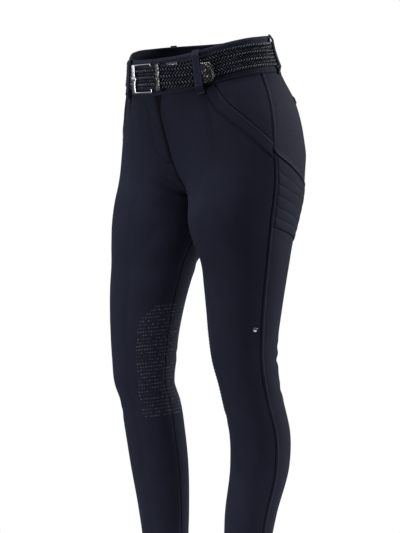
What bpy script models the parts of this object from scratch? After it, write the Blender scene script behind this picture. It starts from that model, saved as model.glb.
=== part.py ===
"""Riding breeches with their own braided belt, hollow, in the shape they take when worn.

Metres, +Z up. The wearer faces -Y, so the wearer's left side is +X. The origin is the middle of the
waist opening. Every cut piece is a thin wall that follows one shared form, the outer face of the
cloth: TURN runs round each half of the garment, from 0 at the centre front seam (or the inseam,
below the crotch) to 1 at the side seam and 2 at the centre back seam (or the inseam again).
"""
from collections import namedtuple

import bmesh
import bpy
import numpy as np
from mathutils import Matrix, Vector

GARMENT = "riding_breeches"
LEFT, RIGHT = 1, -1
SIDES = {"left": LEFT, "right": RIGHT}

# Cloth and seams
WALL = 0.0016
SEAM_GAP = 0.0003
CROTCH = -0.250
THIGH = -0.375
HEM = -0.900
LEG_FREE_WIDTH = 0.06
LEG_FREE_DEPTH = 0.10
STEPS_A_TURN = 12
LEG_ROWS = 21

# Waistband and fly
BAND_DEPTH = 0.056
BAND_RISE = 0.0010
QUARTER_WAIST = 0.13 * np.pi / 2
FLY_GAPE = 0.055
FLY_GAPE_END = -0.125
UNDERLAP_END = -0.168
UNDERLAP_CLEAR = 0.0009

# Belt, tip, keeper and buckle
BELT_WIDTH = 0.038
BELT_THICK = 0.0036
BELT_DROP = 0.009
BELT_LAST_STEP = 53
BELT_TIP_TURN = 0.14
BELT_END_SAG = 0.010
BELT_SAG_LAPS = (4.00, 4.62)
BELT_LIFT_LAPS = (3.78, 3.95)
KEEPER_TURN = 0.080
KEEPER_WIDTH = 0.009
LEATHER = 0.0016
BUCKLE_LENGTH = 0.045
BUCKLE_HEIGHT = 0.046
BUCKLE_BAR = 0.0030
BUCKLE_FAR_BAR = 0.0085
BUCKLE_HEEL_BAR = 0.0035
BUCKLE_THICK = 0.0028
BUCKLE_TURN = 0.13
BUCKLE_STAND_OFF = 0.0054
BUCKLE_SETTLE = 0.0012
BUCKLE_TURNED = (5.0, 1.0, 2.1)
PRONG_LENGTH = 0.012
PRONG_WIDTH = 0.007
PRONG_THICK = 0.0018

# Belt loops
LOOP_WIDTH = 0.013
LOOP_THICK = 0.0016
FRONT_LOOP_LONGER = 0.0075
OVER_BELT_GAP = 0.0004

# Pockets
POCKET_STEPS = 8
POCKET_BAND_RISE = 0.0009
WELT_TURNS = (1.40, 1.78)
WELT_TOP = -0.0905
WELT_DEPTH = 0.010
WELT_RISE = 0.0012
BUTTON_RADIUS = 0.0055
BUTTON_THICK = 0.0022

# Yoke and ribs
YOKE_LIP_RISE = 0.0012
YOKE_LIP_DEPTH = 0.0055
# Shares of the ribbed panel's height at which the sewn lines between its ribs run.
RIB_LINES = (0.0, 0.237, 0.410, 0.575, 0.730, 0.871, 1.0)
RIB_HEIGHT = 0.0020
RIB_RUN_OUT = 0.25

# Knee stud
STUD_RADIUS = 0.0036
STUD_THICK = 0.0016
STUD_TURN = 0.94
STUD_HEIGHT = -0.458

# The form, a row for each level. outer is the half width at the side seam. split is 0 where the
# two halves are one round trunk, 1 where two legs just touch, and more where they stand apart.
# side is the widest line's place along Y, and seam how far before it the side seam runs, as an
# angle. front and back are the depths before and behind the widest line.
# stride is how far the left leg stands back and the right leg forward.
Level = namedtuple("Level", "height outer split_front split_back side seam front back stride")
LEVELS = (
    Level(0.020, 0.129, 0.00, 0.00, 0.003, 0.10, 0.1040, 0.078, 0.0),
    Level(-0.020, 0.131, 0.00, 0.00, 0.007, 0.10, 0.1065, 0.087, 0.0),
    Level(-0.060, 0.140, 0.03, 0.01, 0.012, 0.10, 0.1075, 0.105, 0.0),
    Level(-0.094, 0.151, 0.12, 0.06, 0.016, 0.10, 0.1085, 0.123, 0.0),
    Level(-0.132, 0.162, 0.25, 0.14, 0.0145, 0.11, 0.0983, 0.133, 0.0),
    Level(-0.160, 0.167, 0.38, 0.22, 0.0130, 0.13, 0.0900, 0.135, 0.0005),
    Level(-0.183, 0.170, 0.50, 0.32, 0.0115, 0.15, 0.0843, 0.134, 0.001),
    Level(-0.209, 0.171, 0.66, 0.47, 0.0110, 0.14, 0.082, 0.124, 0.002),
    Level(-0.230, 0.1705, 0.86, 0.74, 0.0100, 0.14, 0.082, 0.114, 0.003),
    Level(-0.250, 0.169, 1.00, 1.00, 0.0085, 0.15, 0.084, 0.106, 0.005),
    Level(-0.286, 0.165, 1.06, 1.06, 0.004, 0.17, 0.084, 0.096, 0.009),
    Level(-0.324, 0.160, 1.13, 1.13, 0.001, 0.22, 0.078, 0.079, 0.015),
    Level(-0.356, 0.1555, 1.23, 1.23, -0.002, 0.27, 0.0695, 0.069, 0.0206),
    Level(-0.394, 0.149, 1.31, 1.31, -0.007, 0.28, 0.0645, 0.063, 0.026),
    Level(-0.433, 0.143, 1.40, 1.40, -0.0108, 0.28, 0.060, 0.058, 0.0295),
    Level(-0.471, 0.138, 1.49, 1.49, -0.0134, 0.26, 0.0555, 0.054, 0.0317),
    Level(-0.510, 0.1335, 1.58, 1.58, -0.0124, 0.26, 0.0525, 0.0515, 0.0345),
    Level(-0.548, 0.130, 1.64, 1.64, -0.0069, 0.28, 0.049, 0.048, 0.0397),
    Level(-0.574, 0.1285, 1.64, 1.64, 0.0020, 0.28, 0.0485, 0.049, 0.039),
    Level(-0.625, 0.1275, 1.62, 1.62, 0.014, 0.25, 0.047, 0.050, 0.0417),
    Level(-0.676, 0.126, 1.64, 1.64, 0.0186, 0.22, 0.0455, 0.048, 0.0379),
    Level(-0.753, 0.118, 1.78, 1.78, 0.0147, 0.20, 0.040, 0.040, 0.0254),
    Level(-0.830, 0.108, 2.04, 2.04, 0.012, 0.20, 0.034, 0.034, 0.020),
    Level(-0.905, 0.102, 2.29, 2.29, 0.010, 0.20, 0.031, 0.031, 0.018),
)

# The waistband's top edge, which dips at the front.
Rim = namedtuple("Rim", "turn height")
RIM = (
    Rim(0.00, -0.0355),
    Rim(0.27, -0.0325),
    Rim(0.48, -0.0250),
    Rim(0.68, -0.0155),
    Rim(0.90, -0.0070),
    Rim(1.20, 0.0000),
    Rim(2.00, 0.0060),
)

# Lines across the panels: the pocket mouth, the lower edge of its band, the yoke's slanted edge
# and the lower edge of the ribbed panel. Each meets the seams at its first and last rows.
Line = namedtuple("Line", "turn height")
MOUTH = (
    Line(0.535, -0.0780),
    Line(0.595, -0.1015),
    Line(0.71, -0.1255),
    Line(0.84, -0.1470),
    Line(1.0, -0.1700),
)
BAND_EDGE = (
    Line(0.445, -0.0820),
    Line(0.49, -0.1080),
    Line(0.59, -0.1320),
    Line(0.72, -0.1530),
    Line(1.0, -0.1960),
)
YOKE_EDGE = (
    Line(1.0, -0.1800),
    Line(1.15, -0.2022),
    Line(1.30, -0.2238),
    Line(1.60, -0.2455),
    Line(2.0, -0.2390),
)
RIB_EDGE = (
    Line(1.0, -0.2965),
    Line(1.17, -0.3090),
    Line(1.60, -0.3320),
    Line(2.0, -0.3375),
)

# A belt loop's run, down from the waistband's top edge: how far down, and how far it stands off
# the cloth as a share of its full lift over the belt.
LoopRow = namedtuple("LoopRow", "down lift")
LOOP_RUN = (
    LoopRow(-0.0025, 0.16),
    LoopRow(0.0020, 0.62),
    LoopRow(0.0070, 1.00),
    LoopRow(0.0490, 1.00),
    LoopRow(0.0525, 0.60),
    LoopRow(0.0560, 0.20),
    LoopRow(0.0600, 0.16),
)

# Colours and finishes: base colour, roughness, metallic
Finish = namedtuple("Finish", "colour roughness metallic")
TWILL = Finish((0.022, 0.025, 0.040), 0.80, 0.0)
BRAID = Finish((0.012, 0.013, 0.018), 0.60, 0.0)
PATENT = Finish((0.010, 0.010, 0.014), 0.22, 0.0)
STEEL = Finish((0.78, 0.78, 0.80), 0.16, 1.0)


def through(rows, column):
    """A smooth curve through one column of a table, read along the table's first column."""
    rows = sorted(rows)
    place = np.array([row[0] for row in rows])
    value = np.array([getattr(row, column) for row in rows])
    slope = np.gradient(value, place)

    def curve(at):
        at = np.clip(at, place[0], place[-1])
        row = np.clip(np.searchsorted(place, at) - 1, 0, len(place) - 2)
        span = place[row + 1] - place[row]
        part = (at - place[row]) / span
        rest = 1 - part
        start = value[row] * (1 + 2 * part) * rest**2 + slope[row] * span * part * rest**2
        return start + value[row + 1] * (1 + 2 * rest) * part**2 - slope[row + 1] * span * rest * part**2

    return curve


FORM = {column: through(LEVELS, column) for column in Level._fields[1:]}
rim_height = through(RIM, "height")
mouth_height = through(MOUTH, "height")
band_edge_height = through(BAND_EDGE, "height")
yoke_height = through(YOKE_EDGE, "height")
rib_edge_height = through(RIB_EDGE, "height")


def eased(part):
    """0 to 1 with a gentle start and end."""
    part = np.clip(part, 0, 1)
    return part * part * (3 - 2 * part)


def ramp(at, span):
    """0 before a span of laps, 1 after it, and eased within it."""
    return eased((at - span[0]) / (span[1] - span[0]))


def surface(side, angle, height):
    """The form's point at an angle round its section: 0 at the inner leg, pi at the widest line."""
    is_front = angle <= np.pi
    split = np.where(is_front, FORM["split_front"](height), FORM["split_back"](height))
    depth = np.where(is_front, FORM["front"](height), FORM["back"](height))
    across = FORM["outer"](height) / (1 + split) * (split - np.cos(angle))
    along = FORM["side"](height) - depth * np.sin(angle)
    leg_free = np.maximum(eased(across / LEG_FREE_WIDTH), eased((CROTCH - height) / LEG_FREE_DEPTH))
    along = along + side * FORM["stride"](height) * leg_free
    return np.stack([side * (across + SEAM_GAP / 2), along, height], axis=-1)


def on_form(side, turn, height):
    """(points, outward normals) of the form for arrays of turns and heights."""
    turn, height = np.broadcast_arrays(np.asarray(turn, float), np.asarray(height, float))
    first = np.arccos(np.clip(FORM["split_front"](height), 0, 1))
    seam = np.pi - FORM["seam"](height)
    last = 2 * np.pi - np.arccos(np.clip(FORM["split_back"](height), 0, 1))
    angle = np.where(turn <= 1, first + turn * (seam - first), seam + (turn - 1) * (last - seam))
    step = 1e-4
    round_it = surface(side, angle + step, height) - surface(side, angle - step, height)
    up_it = surface(side, angle, height + step) - surface(side, angle, height - step)
    normal = np.cross(round_it, up_it) * side
    normal /= np.linalg.norm(normal, axis=-1, keepdims=True)
    return surface(side, angle, height), normal


def round_waist(lap, down, lift):
    """Points near the waistband. lap is 0 at the centre front, 2 at the back and 4 at the front again."""
    lap, down, lift = np.broadcast_arrays(lap, down, lift)
    lap = np.mod(lap, 4)
    turn = np.where(lap <= 2, lap, 4 - lap)
    height = rim_height(turn) - down
    left, left_out = on_form(LEFT, turn, height)
    right, right_out = on_form(RIGHT, turn, height)
    is_left = (lap <= 2)[..., None]
    return np.where(is_left, left + left_out * lift[..., None], right + right_out * lift[..., None])


def finished(obj, finish):
    """Gives an object its material and puts it in the garment's collection."""
    name = obj.name
    material = bpy.data.materials.new(name)
    material.use_nodes = True
    shader = material.node_tree.nodes["Principled BSDF"]
    shader.inputs["Base Color"].default_value = (*finish.colour, 1)
    shader.inputs["Roughness"].default_value = finish.roughness
    shader.inputs["Metallic"].default_value = finish.metallic
    obj.data.materials.clear()
    obj.data.materials.append(material)
    bpy.data.collections[GARMENT].objects.link(obj)
    return obj


def from_bmesh(name, mesh_edit, finish):
    bmesh.ops.recalc_face_normals(mesh_edit, faces=mesh_edit.faces)
    mesh = bpy.data.meshes.new(name)
    mesh_edit.to_mesh(mesh)
    mesh_edit.free()
    mesh.shade_smooth()
    mesh.set_sharp_from_angle(angle=np.radians(40))
    return finished(bpy.data.objects.new(name, mesh), finish)


def wall(name, inner, outer, finish):
    """A closed wall between two grids of points of the same size."""
    rows, columns = outer.shape[:2]
    mesh_edit = bmesh.new()
    skins = [[[mesh_edit.verts.new(point) for point in row] for row in grid] for grid in (inner, outer)]
    for skin in skins:
        for row in range(rows - 1):
            for column in range(columns - 1):
                corners = (skin[row][column], skin[row][column + 1])
                mesh_edit.faces.new((*corners, skin[row + 1][column + 1], skin[row + 1][column]))
    under, over = skins
    border = [(0, column) for column in range(columns)]
    border += [(row, columns - 1) for row in range(1, rows)]
    border += [(rows - 1, column) for column in range(columns - 2, -1, -1)]
    border += [(row, 0) for row in range(rows - 2, 0, -1)]
    for (row, column), (next_row, next_column) in zip(border, border[1:] + border[:1]):
        near = (under[row][column], under[next_row][next_column])
        mesh_edit.faces.new((*near, over[next_row][next_column], over[row][column]))
    return from_bmesh(name, mesh_edit, finish)


def drawn_in(points, kept_open):
    """Moves a grid's edges in by half a seam gap. kept_open marks edge points that stay."""
    moved = points.copy()
    for edge, beside in (
        ((0, slice(None)), (1, slice(None))),
        ((-1, slice(None)), (-2, slice(None))),
        ((slice(None), 0), (slice(None), 1)),
        ((slice(None), -1), (slice(None), -2)),
    ):
        inward = points[beside] - points[edge]
        inward /= np.linalg.norm(inward, axis=-1, keepdims=True)
        moved[edge] += inward * SEAM_GAP / 2 * ~kept_open[edge][..., None]
    return moved


def cut_piece(name, side, turn, height, low=-WALL, high=0.0, finish=TWILL):
    """A piece of cloth on the form. low and high are how far its two faces stand off the form."""
    points, out = on_form(side, turn, height)
    # Above the crotch the two halves already stand half a gap from the middle.
    at_middle = ((turn <= 0) | (turn >= 2)) & (height > CROTCH + 1e-4)
    inner = drawn_in(points + out * np.broadcast_to(low, turn.shape)[..., None], at_middle)
    outer = drawn_in(points + out * np.broadcast_to(high, turn.shape)[..., None], at_middle)
    return wall(name, inner, outer, finish)


def waist_seam(turn):
    return rim_height(turn) - BAND_DEPTH


def between(first, last, parts):
    """Rows of a grid that run from one line to another, at the given shares of the way."""
    parts = np.asarray(parts)[:, None]
    return first[None, :] * (1 - parts) + last[None, :] * parts


def leg_heights():
    """The levels that a leg's front and back share below the thigh, so that their seams match."""
    return np.linspace(THIGH, HEM, LEG_ROWS)


def make_waistband(name, side):
    down = np.array([0, BELT_DROP, BELT_DROP + BELT_WIDTH / 2, BELT_DROP + BELT_WIDTH, BAND_DEPTH])
    turn = np.tile(np.linspace(0, 2, 2 * STEPS_A_TURN + 1), (len(down), 1))
    cut_piece(name, side, turn, rim_height(turn) - down[:, None], high=BAND_RISE)


def mouth_turns():
    return np.linspace(MOUTH[0].turn, 1, POCKET_STEPS + 1)


def band_edge_turns():
    return np.linspace(BAND_EDGE[0].turn, 1, POCKET_STEPS + 1)


def make_front(name, side):
    """One leg's front, with its upper corner cut away along the pocket's band."""
    corner = BAND_EDGE[0].turn
    share = np.concatenate([np.linspace(0, corner, 6)[:-1], band_edge_turns()])
    top = np.where(share <= corner, waist_seam(share), band_edge_height(share))
    to_crotch = between(top, np.full_like(share, CROTCH), 1 - np.linspace(1, 0, 10) ** 1.6)
    to_thigh = np.linspace(CROTCH, THIGH, 11)[1:-1, None] + 0 * share
    height = np.concatenate([to_crotch, to_thigh, leg_heights()[:, None] + 0 * share])
    # The fly stands open at the top, on the left side only.
    opened = np.clip((height - FLY_GAPE_END) / (waist_seam(0) - FLY_GAPE_END), 0, 1) ** 1.5
    gape = FLY_GAPE * opened if side == LEFT else 0 * opened
    turn = gape * np.clip(1 - share / corner, 0, 1) + share
    cut_piece(name, side, turn, height)


def make_hip_facing(name, side):
    """The three-cornered piece between the waistband, the side seam and the pocket mouth."""
    line = mouth_turns()
    across = line.copy()
    across[0] += 0.02
    edge = np.interp(across, line, mouth_height(line))
    height = between(waist_seam(across), edge, np.linspace(0, 1, 5))
    cut_piece(name, side, np.tile(across, (5, 1)), height)


def make_pocket_band(name, side):
    """The strip along the pocket mouth, in steps from its end on the waistband to the side seam."""
    upper, lower = mouth_turns(), band_edge_turns()
    shares = (0, 0.5, 1)
    turn = between(upper, lower, shares)
    height = between(mouth_height(upper), band_edge_height(lower), shares)
    height[:, 0] = waist_seam(turn[:, 0])
    cut_piece(name, side, turn, height, high=POCKET_BAND_RISE)


def make_underlap(name):
    """The strip behind the fly's opening, which closes the wedge between the two fronts."""
    lap = np.tile([-0.08, -0.04, 0.0, 0.05, 0.10, 0.15], (9, 1))
    height = between(waist_seam(np.abs(lap[0])) - SEAM_GAP, np.full(6, UNDERLAP_END), np.linspace(0, 1, 9))
    left, left_out = on_form(LEFT, np.abs(lap), height)
    right, right_out = on_form(RIGHT, np.abs(lap), height)
    is_left = (lap >= 0)[..., None]
    points, out = np.where(is_left, left, right), np.where(is_left, left_out, right_out)
    behind = WALL + UNDERLAP_CLEAR
    wall(name, points - out * (behind + WALL), points - out * behind, TWILL)


def run_out(turn):
    """1 over the panel, falling to 0 at the centre back seam and the inseam."""
    return eased((2 - turn) / RIB_RUN_OUT)


def make_yoke(name, side):
    """The back yoke, whose slanted lower edge is turned up into a thick lip."""
    across = np.linspace(1, 2, STEPS_A_TURN + 1)
    seam, edge = waist_seam(across), yoke_height(across)
    plain = between(seam, edge + YOKE_LIP_DEPTH, np.linspace(0, 1, 7))
    lip = between(edge + YOKE_LIP_DEPTH, edge, (0.2, 1.0))
    height = np.concatenate([plain, lip])
    turn = np.tile(across, (len(height), 1))
    rise = np.zeros_like(height)
    rise[-2:] = YOKE_LIP_RISE * run_out(across)
    cut_piece(name, side, turn, height, high=rise)


def make_ribbed_panel(name, side):
    """The back panel with sewn ribs, raised in its outer face over a plain inside."""
    across = np.linspace(1, 2, STEPS_A_TURN + 1)
    rib_places, rib_rises = (0.0, 0.22, 0.50, 0.78), (0.0, 0.80, 1.0, 0.80)
    ribs = list(zip(RIB_LINES, RIB_LINES[1:]))
    shares = [top + (low - top) * place for top, low in ribs for place in rib_places] + [1.0]
    rises = np.array(list(rib_rises) * len(ribs) + [0.0])
    height = between(yoke_height(across), rib_edge_height(across), shares)
    turn = np.tile(across, (len(height), 1))
    cut_piece(name, side, turn, height, high=RIB_HEIGHT * rises[:, None] * run_out(turn))


def make_back_leg(name, side):
    across = np.linspace(1, 2, STEPS_A_TURN + 1)
    edge = rib_edge_height(across)
    to_thigh = between(edge, np.full_like(across, THIGH), np.linspace(0, 1, 5)[:-1])
    height = np.concatenate([to_thigh, leg_heights()[:, None] + 0 * across])
    cut_piece(name, side, np.tile(across, (len(height), 1)), height)


def make_welt(name, side):
    turn = np.tile(np.linspace(*WELT_TURNS, 7), (3, 1))
    height = WELT_TOP - WELT_DEPTH * np.linspace(0, 1, 3)[:, None] + 0 * turn
    cut_piece(name, side, turn, height, low=SEAM_GAP, high=SEAM_GAP + WELT_RISE)


def make_disc(name, side, turn, height, radius, thick, stand_off, finish, dome):
    """A round button or stud lying on the cloth, with its front edge rounded by dome."""
    point, out = on_form(side, turn, height)
    mesh_edit = bmesh.new()
    bmesh.ops.create_cone(
        mesh_edit, cap_ends=True, segments=20, radius1=radius, radius2=radius * dome, depth=thick
    )
    up = Vector(out).to_track_quat("Z", "Y").to_matrix().to_4x4()
    middle = Vector(point + out * (stand_off + thick / 2))
    bmesh.ops.transform(mesh_edit, matrix=Matrix.Translation(middle) @ up, verts=mesh_edit.verts)
    return from_bmesh(name, mesh_edit, finish)


def belt_top(lap):
    """How far down the strap's upper edge lies. Its free end hangs lower than its first round."""
    return BELT_DROP + BELT_END_SAG * ramp(lap, BELT_SAG_LAPS)


def make_belt_strap(name):
    """The braided strap: once round the waist, then through the buckle and over its own start."""
    lap = np.arange(BELT_LAST_STEP + 1) / STEPS_A_TURN
    over = ramp(lap, BELT_LIFT_LAPS)
    shares = np.linspace(0, 1, 3)[:, None]
    down = belt_top(lap) + BELT_WIDTH * shares
    base = BAND_RISE + SEAM_GAP + over * (BELT_THICK + SEAM_GAP)
    inner = round_waist(lap, down, base)
    outer = round_waist(lap, down, base + BELT_THICK)
    wall(name, inner, outer, BRAID)


def make_belt_tip(name):
    """The leather end of the strap, narrower than the braid and rounded at its end."""
    start = BELT_LAST_STEP / STEPS_A_TURN
    lap = np.linspace(start + 0.003, start + BELT_TIP_TURN, 6)
    narrowing = np.array([0.0015, 0.0024, 0.0030, 0.0034, 0.0042, 0.0085])
    shares = np.linspace(0, 1, 3)[:, None]
    down = belt_top(lap) + narrowing + (BELT_WIDTH - 2 * narrowing) * shares
    base = BAND_RISE + 2 * SEAM_GAP + BELT_THICK
    inner = round_waist(lap, down, base)
    outer = round_waist(lap, down, base + BELT_THICK)
    wall(name, inner, outer, PATENT)


def make_strap_over(name, lap, width, thick, run, lift, finish):
    """A short upright strap that passes over the belt, such as a belt loop or the keeper."""
    half = width / 2 / QUARTER_WAIST
    laps = lap + np.array([-half, 0, half])
    down = np.array([row.down for row in run])[:, None]
    stand = np.array([row.lift for row in run])[:, None] * lift
    inner = round_waist(laps, down, stand)
    outer = round_waist(laps, down, stand + thick)
    return wall(name, inner, outer, finish)


def loop_run(longer):
    """The loop's run, with its lower end moved down where it has to pass round a lower belt end."""
    return [row._replace(down=row.down + longer * (row.down > BELT_WIDTH)) for row in LOOP_RUN]


def make_loops():
    single = BAND_RISE + 2 * SEAM_GAP + BELT_THICK + OVER_BELT_GAP
    double = single + BELT_THICK + SEAM_GAP
    places = (
        ("loop_front_left", 0.43, double, FRONT_LOOP_LONGER),
        ("loop_back_left", 1.29, single, 0),
        ("loop_centre_back", 2.00, single, 0),
        ("loop_back_right", 2.64, single, 0),
        ("loop_front_right", 3.63, single, FRONT_LOOP_LONGER),
    )
    for name, lap, lift, longer in places:
        make_strap_over(name, lap, LOOP_WIDTH, LOOP_THICK, loop_run(longer), lift, TWILL)


def make_keeper(name):
    """The leather ring beside the buckle that holds the belt's free end down."""
    run = (
        LoopRow(0.0065, 0.64),
        LoopRow(0.0078, 0.92),
        LoopRow(0.0105, 1.00),
        LoopRow(0.0465, 1.00),
        LoopRow(0.0500, 0.92),
        LoopRow(0.0515, 0.45),
    )
    lift = BAND_RISE + 3 * SEAM_GAP + 2 * BELT_THICK + OVER_BELT_GAP
    make_strap_over(name, KEEPER_TURN, KEEPER_WIDTH, LEATHER, run, lift, PATENT)


def box_mesh(obj, length, thick, tall):
    mesh_edit = bmesh.new()
    bmesh.ops.create_cube(mesh_edit, size=1.0)
    bmesh.ops.scale(mesh_edit, vec=(length, thick, tall), verts=mesh_edit.verts)
    mesh_edit.to_mesh(obj.data)
    mesh_edit.free()


def rounded(obj, width):
    edges = obj.modifiers.new("rounding", "BEVEL")
    edges.width = width
    edges.segments = 2
    edges.limit_method = "ANGLE"


def make_buckle(frame_name, prong_name):
    """A frame whose far bar lies over the strap and whose heel bar lies under the strap's free end.

    The prong shows only where it comes out of the braid and rests on the far bar.
    """
    strap_middle = rim_height(BUCKLE_TURN) - BELT_DROP - BELT_WIDTH / 2 - BUCKLE_SETTLE
    point, _ = on_form(RIGHT, BUCKLE_TURN, strap_middle)
    place = Matrix.Translation((point[0], point[1] - BUCKLE_STAND_OFF, point[2]))
    for axis, degrees in zip("XYZ", BUCKLE_TURNED):
        place = place @ Matrix.Rotation(np.radians(degrees), 4, axis)
    frame = bpy.data.objects.new(frame_name, bpy.data.meshes.new(frame_name))
    box_mesh(frame, BUCKLE_LENGTH, BUCKLE_THICK, BUCKLE_HEIGHT)
    frame.matrix_world = place
    opening = bpy.data.objects.new("buckle_opening", bpy.data.meshes.new("buckle_opening"))
    cut_length = BUCKLE_LENGTH - BUCKLE_FAR_BAR - BUCKLE_HEEL_BAR
    box_mesh(opening, cut_length, 4 * BUCKLE_THICK, BUCKLE_HEIGHT - 2 * BUCKLE_BAR)
    opening.matrix_world = place @ Matrix.Translation(((BUCKLE_FAR_BAR - BUCKLE_HEEL_BAR) / 2, 0, 0))
    opening.hide_render = True
    opening.display_type = "WIRE"
    bpy.data.collections["cutters"].objects.link(opening)
    finished(frame, STEEL)
    cut = frame.modifiers.new("opening", "BOOLEAN")
    cut.object = opening
    cut.solver = "EXACT"
    rounded(frame, BUCKLE_THICK * 0.3)

    prong = bpy.data.objects.new(prong_name, bpy.data.meshes.new(prong_name))
    box_mesh(prong, PRONG_LENGTH, PRONG_THICK, PRONG_WIDTH)
    along = PRONG_LENGTH / 2 - BUCKLE_LENGTH / 2 - SEAM_GAP
    proud = (BUCKLE_THICK + PRONG_THICK) / 2 + SEAM_GAP
    prong.matrix_world = place @ Matrix.Translation((along, -proud, 0))
    finished(prong, STEEL)
    rounded(prong, PRONG_THICK * 0.35)


def start_scene():
    for obj in list(bpy.data.objects):
        bpy.data.objects.remove(obj, do_unlink=True)
    for name in (GARMENT, "cutters"):
        bpy.context.scene.collection.children.link(bpy.data.collections.new(name))


def build():
    start_scene()
    for word, side in SIDES.items():
        make_waistband(f"waistband_{word}", side)
        make_front(f"front_{word}", side)
        make_hip_facing(f"hip_facing_{word}", side)
        make_pocket_band(f"pocket_band_{word}", side)
        make_yoke(f"yoke_{word}", side)
        make_ribbed_panel(f"ribbed_panel_{word}", side)
        make_back_leg(f"back_leg_{word}", side)
        make_welt(f"welt_{word}", side)
        on_welt = SEAM_GAP * 3 + WELT_RISE
        turn = sum(WELT_TURNS) / 2
        height = WELT_TOP - WELT_DEPTH / 2
        place = (turn, height, BUTTON_RADIUS, BUTTON_THICK, on_welt)
        make_disc(f"pocket_button_{word}", side, *place, BRAID, 0.8)
    make_underlap("fly_underlap")
    make_belt_strap("belt_strap")
    make_belt_tip("belt_tip")
    make_keeper("belt_keeper")
    make_buckle("buckle_frame", "buckle_prong")
    make_loops()
    make_disc("knee_stud", LEFT, STUD_TURN, STUD_HEIGHT, STUD_RADIUS, STUD_THICK, SEAM_GAP, STEEL, 0.75)


build()
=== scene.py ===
"""Riding breeches with their own braided belt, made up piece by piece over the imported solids.

Metres, +Z up. The wearer faces -Y, so the wearer's left side is +X. TURN runs round each half of the
garment, from 0 at the centre front seam (or the inseam) to 1 at the side seam and 2 at the centre
back seam (or the inseam again).
"""
from collections import namedtuple

import bmesh
import bpy
import numpy as np
from mathutils import Matrix, Vector


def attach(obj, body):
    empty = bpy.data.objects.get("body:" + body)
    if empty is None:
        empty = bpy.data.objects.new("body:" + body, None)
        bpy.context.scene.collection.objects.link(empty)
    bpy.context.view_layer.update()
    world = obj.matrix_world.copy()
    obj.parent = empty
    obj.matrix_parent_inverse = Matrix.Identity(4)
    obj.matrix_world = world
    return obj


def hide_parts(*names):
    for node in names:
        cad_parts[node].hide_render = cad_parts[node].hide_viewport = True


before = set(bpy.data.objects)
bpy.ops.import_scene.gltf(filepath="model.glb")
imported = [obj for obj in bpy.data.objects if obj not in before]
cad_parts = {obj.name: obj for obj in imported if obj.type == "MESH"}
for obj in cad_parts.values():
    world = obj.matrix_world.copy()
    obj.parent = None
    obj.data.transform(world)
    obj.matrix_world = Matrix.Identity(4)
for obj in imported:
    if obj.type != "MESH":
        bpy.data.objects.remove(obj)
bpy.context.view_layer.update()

# Camera
# A long lens, level with the thighs, in front of the wearer's left hip.
LOOK_FROM = np.radians(48)
LOOK_AT = Vector((0, 0, -0.36))
LOOK_DISTANCE = 3.4
VIEW_TALL = 0.8528
FILM_TALL = 36.0

toward_camera = Vector((np.sin(LOOK_FROM), -np.cos(LOOK_FROM), 0))
camera = bpy.data.objects.new("camera", bpy.data.cameras.new("camera"))
camera.data.sensor_fit = "VERTICAL"
camera.data.sensor_height = FILM_TALL
camera.data.lens = FILM_TALL * LOOK_DISTANCE / VIEW_TALL
camera.location = LOOK_AT + toward_camera * LOOK_DISTANCE
camera.rotation_euler = toward_camera.to_track_quat("Z", "Y").to_euler()
bpy.context.scene.collection.objects.link(camera)
bpy.context.scene.camera = camera

# Light and floor
# A white room: a faint glow from all round, two broad soft keys behind the wearer's left hip, a low
# fill in front, and a large dim panel for the metal. The garment stands over a plain pale disc.
FLOOR_HEIGHT = -0.902
FLOOR_RADIUS = 0.85
FLOOR_PALE = (0.78, 0.78, 0.79)
ROOM_GLOW = 0.08

Lamp = namedtuple("Lamp", "name x y z size watts")
LAMPS = (
    Lamp("hip key", 1.74, 2.07, 0.36, 0.9, 38.0),
    Lamp("back key", 0.68, 2.54, 0.60, 0.9, 28.0),
    Lamp("fill", -0.91, -2.97, -0.36, 0.9, 35.0),
    Lamp("overhead", 1.26, -1.46, 1.94, 0.5, 7.0),
    Lamp("top light", 0.00, -0.78, 2.54, 0.8, 62.0),
    Lamp("side panel", -2.26, -2.34, 0.55, 1.4, 4.0),
)
for lamp in LAMPS:
    glow = bpy.data.lights.new(lamp.name, "AREA")
    glow.shape = "DISK"
    glow.size = lamp.size
    glow.energy = lamp.watts
    lit_from = bpy.data.objects.new(lamp.name, glow)
    lit_from.location = (lamp.x, lamp.y, lamp.z)
    lit_from.rotation_euler = (lit_from.location - LOOK_AT).to_track_quat("Z", "Y").to_euler()
    bpy.context.scene.collection.objects.link(lit_from)
room = bpy.data.worlds.new("white room")
room.use_nodes = True
backdrop = room.node_tree.nodes["Background"]
backdrop.inputs["Color"].default_value = (1, 1, 1, 1)
seen = room.node_tree.nodes.new("ShaderNodeLightPath")
brightness = room.node_tree.nodes.new("ShaderNodeMapRange")
brightness.inputs["To Min"].default_value = ROOM_GLOW
brightness.inputs["To Max"].default_value = 1.0
room.node_tree.links.new(seen.outputs["Is Camera Ray"], brightness.inputs["Value"])
room.node_tree.links.new(brightness.outputs["Result"], backdrop.inputs["Strength"])
bpy.context.scene.world = room
bpy.context.scene.view_settings.view_transform = "Standard"


def as_mesh(name, edit):
    """Ends an edit and gives its mesh."""
    mesh = bpy.data.meshes.new(name)
    edit.to_mesh(mesh)
    edit.free()
    return mesh


disc = bmesh.new()
bmesh.ops.create_circle(disc, cap_ends=True, segments=96, radius=FLOOR_RADIUS)
bmesh.ops.translate(disc, vec=(0, 0, FLOOR_HEIGHT), verts=disc.verts)
floor = bpy.data.objects.new("floor", as_mesh("floor", disc))
bpy.context.scene.collection.objects.link(floor)
floor_paint = bpy.data.materials.new("pale floor")
floor_paint.use_nodes = True
floor_paint.node_tree.nodes["Principled BSDF"].inputs["Base Color"].default_value = (*FLOOR_PALE, 1)
floor.data.materials.append(floor_paint)

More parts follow.
